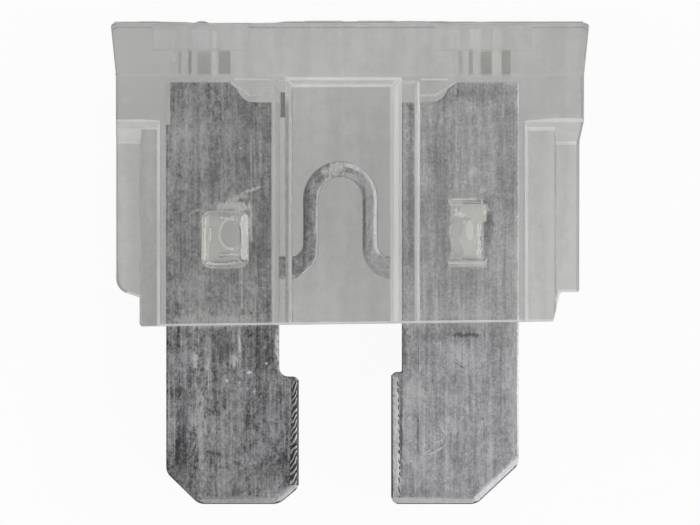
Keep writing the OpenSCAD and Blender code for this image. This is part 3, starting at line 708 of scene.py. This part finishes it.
def make_housing():
    shape = solid_copy("housing")
    merge_slot_tips(shape)
    tree = BVHTree.FromBMesh(shape)
    for face in shape.faces:
        face.material_index = finish_of(tree, face)
    split_slopes(shape)
    noise.seed_set(RIDGE_SEED)
    for pit in PITS:
        for way in (1, -1):
            melt_pit(shape, *pit, way)
    shape.normal_update()

    def finishes(edge):
        return {f.material_index for f in edge.link_faces}

    def on_digit(edge):
        return all(abs(v.co.x) < DIGIT_REACH and v.co.y > DIGIT_FOOT for v in edge.verts)

    def corner(vert):
        foot = vert.co.x < LEFT_EDGE and vert.co.y < FOOT_CORNER_Y
        head = abs(vert.co.x) > HEAD_CORNER_X and vert.co.y > HEAD_CORNER_Y
        return foot or head

    def shoulder(vert):
        return vert.co.x < LEFT_EDGE and near(vert.co.y, SHOULDER_Y, SHOULDER_REACH)

    def fin(vert):
        return abs(vert.co.z - MIDDLE_Z) < FIN_REACH

    def on_wall(vert):
        """True along the left window wall, the pads' and the strips' outer walls."""
        pad = near(abs(vert.co.x - CORE_X), PAD_WALL, WALL_MARGIN)
        strip = near(abs(vert.co.x - STRIP_X), STRIP_WALL, WALL_MARGIN)
        return pad or strip or near(vert.co.x, LEFT_WINDOW, WINDOW_MARGIN)

    def in_pit(vert):
        return any(
            near(vert.co.x, x * MM, half_w * MM + MARGIN) and near(vert.co.y, y * MM, half_h * MM + MARGIN)
            for x, y, half_w, half_h, *_ in PITS)

    def outer(edge):
        if all(in_pit(v) for v in edge.verts):
            return False
        upright = near(edge.verts[0].co.x, edge.verts[1].co.x, UPRIGHT_MARGIN)
        plain = on_digit(edge) or (upright and all(on_wall(v) for v in edge.verts))
        return finishes(edge) <= {OUTER, EDGE, HIGHLIGHT_WALL, SHADED_STRIP, FACET, SIDE} and not plain

    def outer_but(*kinds):
        return lambda edge: outer(edge) and not any(kind(v) for kind in kinds for v in edge.verts)

    def head_foot(edge):
        return all(near(abs(v.co.z - MIDDLE_Z), PAD_FACE) and near(v.co.y, HEAD_FOOT) for v in edge.verts)

    def height(edge):
        return max(abs(v.co.z - MIDDLE_Z) for v in edge.verts)

    def cavity(edge):
        return (finishes(edge) == {INNER} and near(height(edge), CAVITY_FACE)
                and edge.verts[0].co.y < CEILING + CEILING_MARGIN)

    def cavity_side(edge):
        return cavity(edge) and near(edge.verts[0].co.x, edge.verts[1].co.x)

    def left_side(edge):
        return cavity_side(edge) and edge.verts[0].co.x < 0

    def slot_end(edge):
        a, b = (v.co for v in edge.verts)
        level = near(height(edge), SLOT_FACE) and near(a.z, b.z)
        under = max(a.y, b.y) < CEILING + MARGIN and min(a.y, b.y) > CEILING - SLOT_END_DROP
        between = (min(a.x, b.x) > SLOT_TIPS[0] - TIP_MARGIN
                   and max(a.x, b.x) < SLOT_TIPS[1] + TIP_MARGIN)
        return finishes(edge) == {INNER} and level and under and between

    round_edges(shape, sharp_edges(shape, outer_but(corner, shoulder, fin)), EDGE_R, 3, ROUND)
    round_edges(shape, sharp_edges(shape, outer_but(corner, shoulder)), EDGE_R, 3, ROUND)
    round_edges(shape, sharp_edges(shape, outer_but(corner)), SHOULDER_R, 3, ROUND)
    round_edges(shape, sharp_edges(shape, outer), CORNER_R, 3, ROUND)
    round_edges(shape, [e for e in shape.edges if head_foot(e)], HEAD_FOOT_R, 2, SIDE)
    round_edges(shape, sharp_edges(shape, left_side), LEFT_SIDE_R, 3, LINE)
    round_edges(shape, sharp_edges(shape, cavity_side), RIGHT_SIDE_R, 3, INNER_EDGE)
    round_edges(shape, sharp_edges(shape, cavity), CEILING_R, 3, LINE)
    # The slot's ends near the ceiling take the same milky white: painted highlight
    round_edges(shape, sharp_edges(shape, slot_end), SLOT_END_R, 2, HIGHLIGHT_WALL)
    for face in shape.faces:
        if face.material_index == ROUND:
            middle = face.calc_center_median()
            at_top = middle.y > RIM_Y
            face.material_index = RIM if abs(middle.x) > RIM_X else OUTER if at_top else EDGE
    mark_sharp(shape, CREASE)
    new_piece("housing_clear", shape, [
        plastic("clear_outer", (0.84, 0.84, 0.83), (0.99, 0.99, 0.98), 0.95, 0.04),
        plastic("clear_edge", (0.84, 0.84, 0.82), (0.94, 0.94, 0.92), 0.35, 0.25),
        plastic("clear_rim", (0.5, 0.5, 0.49), (0.6, 0.6, 0.59), 0.85, 0.2),
        plastic("clear_inner", (0.98, 0.98, 0.972), (1.0, 1.0, 0.992), 1.0, 0.05),
        plastic("clear_inner_edge", (0.72, 0.72, 0.70), (0.82, 0.82, 0.80), 0.5, 0.3),
        plastic("clear_line", (0.78, 0.78, 0.76), (0.90, 0.90, 0.88), 0.35, 0.3),
        plastic("highlight_wall", (0.90, 0.90, 0.88), (0.98, 0.98, 0.96), 0.2, 0.3),
        plastic("shaded_strip", (0.70, 0.70, 0.69), (0.86, 0.86, 0.85), 0.95, 0.04),
        plastic("clear_melt", (0.84, 0.84, 0.83), (0.92, 0.92, 0.90), 0.95, 0.1),
        plastic("hazy_melt", (0.74, 0.74, 0.72), (0.86, 0.86, 0.84), 0.65, 0.2),
        plastic("milky_melt", (0.78, 0.78, 0.76), (0.90, 0.90, 0.88), 0.45, 0.2),
        plastic("frosted_melt", (0.84, 0.84, 0.82), (0.96, 0.96, 0.94), 0.25, 0.3),
        plastic("clear_lens", (0.78, 0.78, 0.77), (0.86, 0.86, 0.84), 0.95, 0.1),
        plastic("hazy_facet", (0.80, 0.80, 0.78), (0.94, 0.94, 0.92), 0.6, 0.2),
        plastic("hazy_side", (0.80, 0.80, 0.78), (0.94, 0.94, 0.92), 0.8, 0.2),
    ], "housing")


# Flow lines and ribs on the inner walls, with sheets for a dark slit of painted shade and for bright lines
# of painted highlight: x from and to, y from and to in mm, and tint
PALE, LIGHT, SHADE, DARK, SLIT_SHADE, MILKY_HIGHLIGHT, WHITE_HIGHLIGHT = range(7)
WELL_RIBS = [
    (-7.84, -7.14, 8.60, 9.36, PALE), (-7.10, -6.98, 8.60, 9.36, LIGHT),
    (-6.34, -5.62, 8.60, 9.36, PALE), (-5.50, -5.30, 8.60, 9.36, LIGHT),
    (3.94, 4.42, 8.60, 9.36, PALE), (4.82, 5.22, 8.60, 9.36, LIGHT), (5.70, 6.02, 8.60, 9.36, PALE),
]
PROBE_RIBS = [
    (-7.12, -6.90, 8.08, 8.54, LIGHT), (-6.86, -6.74, 7.60, 8.50, SHADE),
    (-6.74, -6.50, 7.56, 8.08, LIGHT), (-6.46, -6.34, 7.60, 8.54, DARK),
    (-6.10, -5.56, 7.50, 8.50, SHADE), (-5.50, -5.30, 7.56, 8.54, LIGHT),
    (-5.26, -4.78, 7.60, 8.54, DARK), (4.34, 4.50, 7.50, 8.54, SHADE),
    (4.74, 4.90, 7.50, 8.54, DARK), (4.90, 5.22, 7.50, 8.54, LIGHT), (5.22, 5.66, 7.50, 8.54, DARK),
    (5.70, 6.06, 7.50, 8.54, LIGHT), (6.06, 6.42, 7.50, 8.54, DARK),
]
# A dark sheet where a dark slit of shade shows by the left window wall: painted shade
CAVITY_RIBS = [(-2.78, -2.54, 5.80, 6.80, SLIT_SHADE)]
# Milky and white sheets along the slot's left edge and under its ceiling, where bright lines show: painted
# highlights
SLOT_RIBS = [
    (-7.38, -7.18, 5.50, 7.20, MILKY_HIGHLIGHT),
    (-4.64, -3.18, 7.28, 7.36, WHITE_HIGHLIGHT), (2.84, 3.92, 7.28, 7.36, WHITE_HIGHLIGHT),
]
RIB_T = 0.1
RIB_ROOT = 0.02
# Test points in mm: a wide well in the head's top and a narrower one under it, both with a
# thicker core. A wall is the distance from the middle of the sheet
WELL_MIDDLES = (-5.95, 5.35)
WELL_FLOOR = 8.56
WELL_DRAFT = 0.1
WELL_WALL = 0.8
WELL_CORE_W = 1.6
WELL_CORE_WALL = 1.3
PROBE_WALL = 0.5
PROBE_CORE_W = 0.88
PROBE_CORE_WALL = 0.9


def in_core(x0, x1, core_w):
    """True for a rib that lies within the thicker core of a test point."""
    off = min(max(abs(x0 - middle), abs(x1 - middle)) for middle in WELL_MIDDLES)
    return off < core_w / 2


def make_ribs():
    shape = bmesh.new()
    walls = []
    for rib in WELL_RIBS:
        wall = WELL_CORE_WALL if in_core(*rib[:2], WELL_CORE_W) else WELL_WALL
        walls.append((rib, wall, WELL_DRAFT, RIB_T))
    for rib in PROBE_RIBS:
        wall = PROBE_CORE_WALL if in_core(*rib[:2], PROBE_CORE_W) else PROBE_WALL
        walls.append((rib, wall, 0, RIB_T))
    walls += [(rib, CAVITY_FACE / MM, 0, RIB_T) for rib in CAVITY_RIBS]
    walls += [(rib, SLOT_FACE / MM, 0, 2 * RIB_ROOT) for rib in SLOT_RIBS]
    for (x0, x1, y0, y1, tint), wall, draft, thick in walls:
        for way in (1, -1):
            made = bmesh.ops.create_cube(shape, size=1.0)["verts"]
            for vert in made:
                y = y1 if vert.co.y > 0 else y0
                outer = wall + draft * max(y - WELL_FLOOR, 0) + RIB_ROOT
                depth = outer if vert.co.z * way > 0 else outer - thick
                vert.co = ((x1 if vert.co.x > 0 else x0) * MM, y * MM, MIDDLE_Z + way * depth * MM)
            for face in {f for v in made for f in v.link_faces}:
                face.material_index = tint
    mark_sharp(shape, CREASE)
    new_piece("flow_lines", shape, [
        plastic("rib_pale", (0.97, 0.97, 0.98), (0.99, 0.99, 1.0), 0.95, 0.05),
        plastic("rib_light", (0.9, 0.9, 0.89), (0.95, 0.95, 0.94), 0.85, 0.1),
        plastic("rib_shade", (0.89, 0.89, 0.87), (0.94, 0.94, 0.92), 1.0, 0.05),
        plastic("rib_dark", (0.80, 0.80, 0.78), (0.89, 0.89, 0.87), 1.0, 0.05),
        plastic("rib_slit_shade", (0.52, 0.52, 0.51), (0.64, 0.64, 0.63), 1.0, 0.05),
        plastic("rib_milky_highlight", (0.80, 0.80, 0.78), (0.92, 0.92, 0.90), 0.5, 0.2),
        plastic("rib_white_highlight", (0.90, 0.90, 0.88), (1.0, 1.0, 0.98), 0.2, 0.3),
    ])


# Element

ROLLED_LEFT, ROLLED_RIGHT, COINED_HIGHLIGHT, CUT_SHADE, LIT_LINK_SIDE = range(5)
# Heights over the middle of the sheet
SHEET_FACE = 0.325 * MM
LINK_FACE = 0.25 * MM
COIN_FACE = 0.165 * MM
# Places in the sheet
COIN_TOP = -7.9 * MM
FOOT = -2.4 * MM
LINK_X = -0.37 * MM
LINK_REACH = 2.2 * MM
LINK_FOOT = -1.0 * MM
# Radii of the rounded edges
TIP_R = 0.2 * MM
LINK_R = 0.22 * MM
COIN_R = 0.09 * MM
FOLD_R = 0.12 * MM
SHEET_R = 0.07 * MM
FOLD_ANGLE = math.radians(5)
# Shares of a face's normal: the most that a shaded cut, a highlighted coined or a highlighted link face
# and the least that a fold's faces rise, and how far they face right, which sets where the painted shade
# and painted highlights go
CUT_SHADE_RISE = 0.75
CUT_SHADE_LEAN = 0.3
COIN_RISE = 0.97
COIN_LEAN = -0.1
LIT_SIDE_RISE = 0.85
LIT_SIDE_LEAN = 0.3
FOLD_RISE = 0.8


def zinc_finish(face):
    """Dark on the bare blades' steep sides, at the ends all round and elsewhere unless they face right:
    sheared edges with painted shade. Lighter on the coined ends' slopes unless they face left: a smoother
    finish with a painted highlight. Bright on the link's right-facing rounded sides: a painted highlight.
    """
    middle = face.calc_center_median()
    rise = abs(face.normal.z)
    lean = face.normal.x
    at_end = middle.y < COIN_TOP
    on_link = near(middle.x, LINK_X, LINK_REACH) and middle.y > LINK_FOOT
    if rise < CUT_SHADE_RISE and middle.y < FOOT and (at_end or lean < CUT_SHADE_LEAN):
        return CUT_SHADE
    if rise < COIN_RISE and at_end and lean > COIN_LEAN:
        return COINED_HIGHLIGHT
    if rise < LIT_SIDE_RISE and on_link and lean > LIT_SIDE_LEAN:
        return LIT_LINK_SIDE
    return ROLLED_LEFT if middle.x < LINK_X else ROLLED_RIGHT


def make_element():
    shape = solid_copy("fuse_element")

    def corner(edge):
        a, b = (v.co for v in edge.verts)
        upright = near(a.x, b.x, MERGE) and near(a.y, b.y, MERGE)
        return upright and a.y < COIN_TOP

    def level(edge, target):
        return all(near(abs(v.co.z - MIDDLE_Z), target) for v in edge.verts)

    def ribbon(edge):
        return level(edge, LINK_FACE) and edge.is_convex

    def rim(edge):
        return level(edge, SHEET_FACE)

    def coined_end(edge):
        return level(edge, COIN_FACE)

    def fold(edge):
        return (rim(edge) and max(v.co.y for v in edge.verts) < COIN_TOP and edge.is_manifold
                and all(abs(f.normal.z) > FOLD_RISE for f in edge.link_faces)
                and edge.calc_face_angle() > FOLD_ANGLE)

    round_edges(shape, sharp_edges(shape, corner), TIP_R, 4)
    round_edges(shape, sharp_edges(shape, ribbon), LINK_R, 5)
    round_edges(shape, sharp_edges(shape, coined_end), COIN_R, 3)
    round_edges(shape, [e for e in shape.edges if fold(e)], FOLD_R, 4)
    round_edges(shape, sharp_edges(shape, rim), SHEET_R, 3)
    shape.normal_update()
    for face in shape.faces:
        face.material_index = zinc_finish(face)
    mark_sharp(shape, ZINC_CREASE)
    new_piece("element_zinc", shape, [
        zinc("rolled_zinc_left", (0.3, 0.5), DULL_SHADED_TONES, FRESH_LIT_TONES, 0.27, LEFT_MARKS),
        zinc("rolled_zinc_right", (0.3, 0.5), DULL_SHADED_TONES, FRESH_LIT_TONES, 0.27, RIGHT_MARKS),
        # The coined ends' and the link's lighter tones are painted highlights, the cut sides' dark tones
        # painted shade
        zinc("coined_highlight_zinc", (0.25, 0.4), (0.34, 0.60), (0.5, 0.8), 0.5),
        zinc("cut_shade_zinc", (0.3, 0.5), (0.06, 0.2), (0.08, 0.24), 0.5),
        zinc("lit_link_side_zinc", (0.3, 0.4), (0.7, 0.95), (0.75, 0.95), 0.5),
    ], "fuse_element")


# Rolled-up burrs along the inner edges of the blade ends: the edge's x, the way towards
# the blade, lower and upper end, width, height and depth of their teeth in mm, and the
# share of the width at their crest
BURRS = [
    (-2.05, -1, -8.9, -4.7, 0.46, 0.06, 0.02, 0.3), (1.65, 1, -9.4, -4.5, 0.5, 0.06, 0.001, 0.14),
]
GLINT, PLAIN, TORN_SHADE = range(3)
BURR_ACROSS = 24
# In mm: step along the edge, fading ends, sink into the blade, skirt down its cut edge and how far
# that skirt stands proud; and the share of the width that is lost towards the upper end
BURR_STEP = 0.02
BURR_TAPER = 0.25
BURR_ENDS = (-0.02, 0.2)
BURR_SINK = 0.01
BURR_SKIRT = 0.14
BURR_PROUD = 0.004
# Slanting teeth, with lumps that make their pitch uneven, and ragged lines along the right burr
TOOTH_PITCH = 0.3
TOOTH_SLANT = 2.2
LUMPS = (2.5, 2.2)
LUMP_SHARE = 0.5
LUMP_SEED = 0.3
RAGGED_ALONG = 1.6
RAGGED_SEEDS = (0.3, 0.9)
# Shares of a burr's width, and levels of its teeth, where the finish changes between painted glints, plain
# zinc and a dark torn band with painted shade
LEFT_TEETH = (0.2, 0.8)
LEFT_TOOTH_LEVEL = 0.35
LEFT_TORN_SHADE_END = 0.9
RIGHT_TORN_SHADE_EDGE = 0.14
TORN_SHADE_LINE = (0.64, 0.74)
TORN_SHADE_SWAY = 0.12
TORN_SHADE_TEETH = 0.08
TORN_SHADE_LEVEL = -0.2
ROLL_END = 0.3
ROLL_SWAY = 0.3
ROLL_LEVEL = -0.4


def tooth_phase(along, share, way):
    """Sine of the slanting teeth, with an uneven pitch."""
    lumps = noise.noise(Vector((LUMPS[0] * share, LUMPS[1] * along, LUMP_SEED + way)))
    return math.sin(2 * math.pi * (along / TOOTH_PITCH + TOOTH_SLANT * share + LUMP_SHARE * lumps))


def left_burr_finish(share, phase):
    """Bright teeth, painted glints, in a dark torn band that is partly painted shade."""
    if phase > LEFT_TOOTH_LEVEL and LEFT_TEETH[0] < share < LEFT_TEETH[1]:
        return GLINT
    return TORN_SHADE if share < LEFT_TORN_SHADE_END else PLAIN


def right_burr_finish(share, phase, along):
    """A bright roll, a painted highlight, beside a dark torn edge and a broken dark line in the groove,
    both partly painted shade.
    """
    ragged = noise.noise(Vector((RAGGED_SEEDS[0], RAGGED_ALONG * along, RAGGED_SEEDS[1])))
    line_start = TORN_SHADE_LINE[0] + TORN_SHADE_SWAY * ragged
    line_end = TORN_SHADE_LINE[1] + TORN_SHADE_SWAY * ragged + TORN_SHADE_TEETH * phase
    if share < RIGHT_TORN_SHADE_EDGE or (line_start < share < line_end and phase > TORN_SHADE_LEVEL):
        return TORN_SHADE
    return GLINT if share < ROLL_END + ROLL_SWAY * ragged and phase > ROLL_LEVEL else PLAIN


def burr_finish(along, share, way):
    phase = tooth_phase(along, share, way)
    return left_burr_finish(share, phase) if way < 0 else right_burr_finish(share, phase, along)


def make_burrs():
    shape = bmesh.new()
    for edge_x, way, low, high, width, height, tooth, top in BURRS:
        rows = []
        steps = int((high - low) / BURR_STEP)
        for i in range(steps + 1):
            along = low + (high - low) * i / steps
            ends = ease(min(along - low, high - along), *BURR_ENDS)
            reach = width * (1 - BURR_TAPER * i / steps)
            row = []
            for j in range(BURR_ACROSS + 1):
                share = j / BURR_ACROSS
                crest = ease(share, 0.0, top) * ease(share, 1.0, top)
                rise = ends * crest * (height + tooth * tooth_phase(along, share, way)) - BURR_SINK
                if j == 0:
                    rise = -BURR_SKIRT
                x = edge_x + way * (share * reach - BURR_PROUD)
                row.append(shape.verts.new(
                    (x * MM, along * MM, MIDDLE_Z + SHEET_FACE + rise * MM)))
            rows.append(row)
        for i, (low_row, high_row) in enumerate(zip(rows, rows[1:])):
            for j in range(BURR_ACROSS):
                ring = [low_row[j], low_row[j + 1], high_row[j + 1], high_row[j]]
                face = shape.faces.new(ring[::way])
                along = low + (high - low) * (i + 0.5) / steps
                face.material_index = burr_finish(along, (j + 0.5) / BURR_ACROSS, way)
    # Bright burr faces are painted glints; the dark torn ones are partly painted shade
    new_piece("blade_burrs", shape, [
        zinc("glint_burr", (0.35, 0.45), (0.6, 0.85), (0.6, 0.85), 0.45),
        zinc("plain_burr", (0.3, 0.5), (0.16, 0.55), (0.38, 0.8), 0.35),
        zinc("torn_shade_burr", (0.4, 0.55), (0.05, 0.18), (0.05, 0.18), 0.45)])


# Uneven lips of flash along the head's top edges: x in mm, and height over the top in mm
LIP_LINE = [
    (-9.40, 0.05), (-8.00, 0.06), (-6.60, 0.03), (-6.20, 0.00), (-6.00, 0.07), (-5.80, 0.06),
    (-5.60, 0.00), (-4.00, -0.01), (-3.00, 0.01), (-2.50, 0.06), (1.50, 0.06), (2.60, 0.08),
    (3.40, 0.07), (4.20, 0.05), (9.30, 0.06),
]
LIP_STEP = 0.1
LIP_FOOT = 0.005
LIP_RIPPLE = 0.008
RIPPLES = 3
RIPPLE_SEED = 0.4
HEAD_TOP = 9.56
HEAD_HALF = 2.55
# Section of a lip: share of its height, and depth from the head's face in mm
LIP_SECTION = [(0.0, 0.09), (0.6, 0.07), (1.0, 0.12), (0.8, 0.2), (0.0, 0.3)]


def lip_height(x):
    """Height of the lip over the head's top at x, in mm."""
    for (x0, h0), (x1, h1) in zip(LIP_LINE, LIP_LINE[1:]):
        if x <= x1:
            break
    ripple = noise.noise(Vector((RIPPLES * x, RIPPLE_SEED, 0)))
    return h0 + (h1 - h0) * ease(x, x0, x1) + LIP_RIPPLE * ripple


def make_lips():
    shape = bmesh.new()
    start, end = LIP_LINE[0][0], LIP_LINE[-1][0]
    steps = int((end - start) / LIP_STEP)
    for way in (1, -1):
        rows = []
        for i in range(steps + 1):
            x = start + (end - start) * i / steps
            height = lip_height(x)
            row = []
            for share, depth in LIP_SECTION:
                y = HEAD_TOP - LIP_FOOT + share * (LIP_FOOT + height)
                z = MIDDLE_Z + way * (HEAD_HALF - depth) * MM
                row.append(shape.verts.new((x * MM, y * MM, z)))
            rows.append(row)
        for low_row, high_row in zip(rows, rows[1:]):
            for j in range(len(LIP_SECTION)):
                k = (j + 1) % len(LIP_SECTION)
                shape.faces.new([low_row[j], high_row[j], high_row[k], low_row[k]][::way])
        shape.faces.new(rows[0][::way])
        shape.faces.new(rows[-1][::-way])
    mark_sharp(shape, LIP_CREASE)
    new_piece("head_lips", shape, [
        plastic("clear_lip", (0.90, 0.90, 0.89), (0.96, 0.96, 0.95), 0.9, 0.15)])


# Floor, world and lamps

FLOOR_W = 1600 * MM
# Tones and white shares of the floor: lit, seen by the camera, and seen through the part
LIT_TONE = 0.45
SEEN_TONE = 0.9
SEEN_WHITE = 0.93
THROUGH_WHITE = 0.29
# Levels of the world: from its sides to its top, and from left to right
RISE_Z = (0.15, 0.9)
RISE_LEVELS = (1.0, 0.42)
SIDE_X = (-0.8, 0.8)
SIDE_LEVELS = (0.2, 1.7)
TOP_Z = (0.5, 0.95)
# Lamps: place, size and power in watts
KEY_PLACE = (75 * MM, 10 * MM, 60 * MM)
KEY_SIZE = (60 * MM, 60 * MM)
KEY_POWER = 0.013
FILL_PLACE = (-100 * MM, -20 * MM, 27 * MM)
FILL_SIZE = (60 * MM, 40 * MM)
FILL_POWER = 0.045


def make_floor():
    mesh = bpy.data.meshes.new("floor")
    half = FLOOR_W / 2
    corners = [(-half, -half, 0), (half, -half, 0), (half, half, 0), (-half, half, 0)]
    mesh.from_pydata(corners, [], [(0, 1, 2, 3)])
    floor = bpy.data.objects.new("floor", mesh)
    scene.collection.objects.link(floor)
    material, tree = new_material("pale_floor")
    path = add(tree, "ShaderNodeLightPath")
    seen = path.outputs["Is Camera Ray"]
    through = maths(tree, "MAXIMUM", path.outputs["Is Transmission Ray"], path.outputs["Is Glossy Ray"])
    share = blend(tree, [(seen, SEEN_WHITE), (through, THROUGH_WHITE)])
    tone = remap(tree, seen, 0, 1, LIT_TONE, SEEN_TONE)
    lit = add(tree, "ShaderNodeBsdfDiffuse", {"Color": tone})
    glow = add(tree, "ShaderNodeEmission", {"Color": (1, 1, 1, 1), "Strength": 1.0})
    mix = add(tree, "ShaderNodeMixShader", {
        0: share, 1: lit.outputs["BSDF"], 2: glow.outputs["Emission"]})
    add(tree, "ShaderNodeOutputMaterial", {"Surface": mix.outputs["Shader"]})
    mesh.materials.append(material)


def make_world():
    world = bpy.data.worlds.new("studio")
    scene.world = world
    world.use_nodes = True
    tree = world.node_tree
    tree.nodes.clear()
    path = add(tree, "ShaderNodeLightPath")
    way = add(tree, "ShaderNodeTexCoord").outputs["Generated"]
    way = add(tree, "ShaderNodeSeparateXYZ", {0: way})
    rise = remap(tree, way.outputs["Z"], *RISE_Z, *RISE_LEVELS)
    side = remap(tree, way.outputs["X"], *SIDE_X, *SIDE_LEVELS)
    top = remap(tree, way.outputs["Z"], *TOP_Z)
    side = add(tree, "ShaderNodeMix", {0: top, 2: side, 3: 1.0}).outputs[0]
    level = maths(tree, "MULTIPLY", rise, side)
    room = add(tree, "ShaderNodeBackground", {"Color": (1, 1, 1, 1), "Strength": level})
    white = add(tree, "ShaderNodeBackground", {"Color": (1, 1, 1, 1), "Strength": 1.0})
    mix = add(tree, "ShaderNodeMixShader", {
        0: path.outputs["Is Camera Ray"], 1: room.outputs["Background"],
        2: white.outputs["Background"]})
    add(tree, "ShaderNodeOutputWorld", {"Surface": mix.outputs["Shader"]})


def make_lamp(name, place, size, power, glints=True):
    data = bpy.data.lights.new(name, "AREA")
    data.shape = "RECTANGLE"
    data.size, data.size_y = size
    data.energy = power
    lamp = bpy.data.objects.new(name, data)
    lamp.location = place
    lamp.rotation_mode = "QUATERNION"
    lamp.rotation_quaternion = (-Vector(place)).to_track_quat("-Z", "Y")
    lamp.visible_camera = False
    lamp.visible_transmission = False
    lamp.visible_glossy = glints
    scene.collection.objects.link(lamp)


make_camera()
make_housing()
make_ribs()
make_element()
make_burrs()
make_lips()
make_floor()
make_world()
make_lamp("key", KEY_PLACE, KEY_SIZE, KEY_POWER)
make_lamp("fill", FILL_PLACE, FILL_SIZE, FILL_POWER, False)
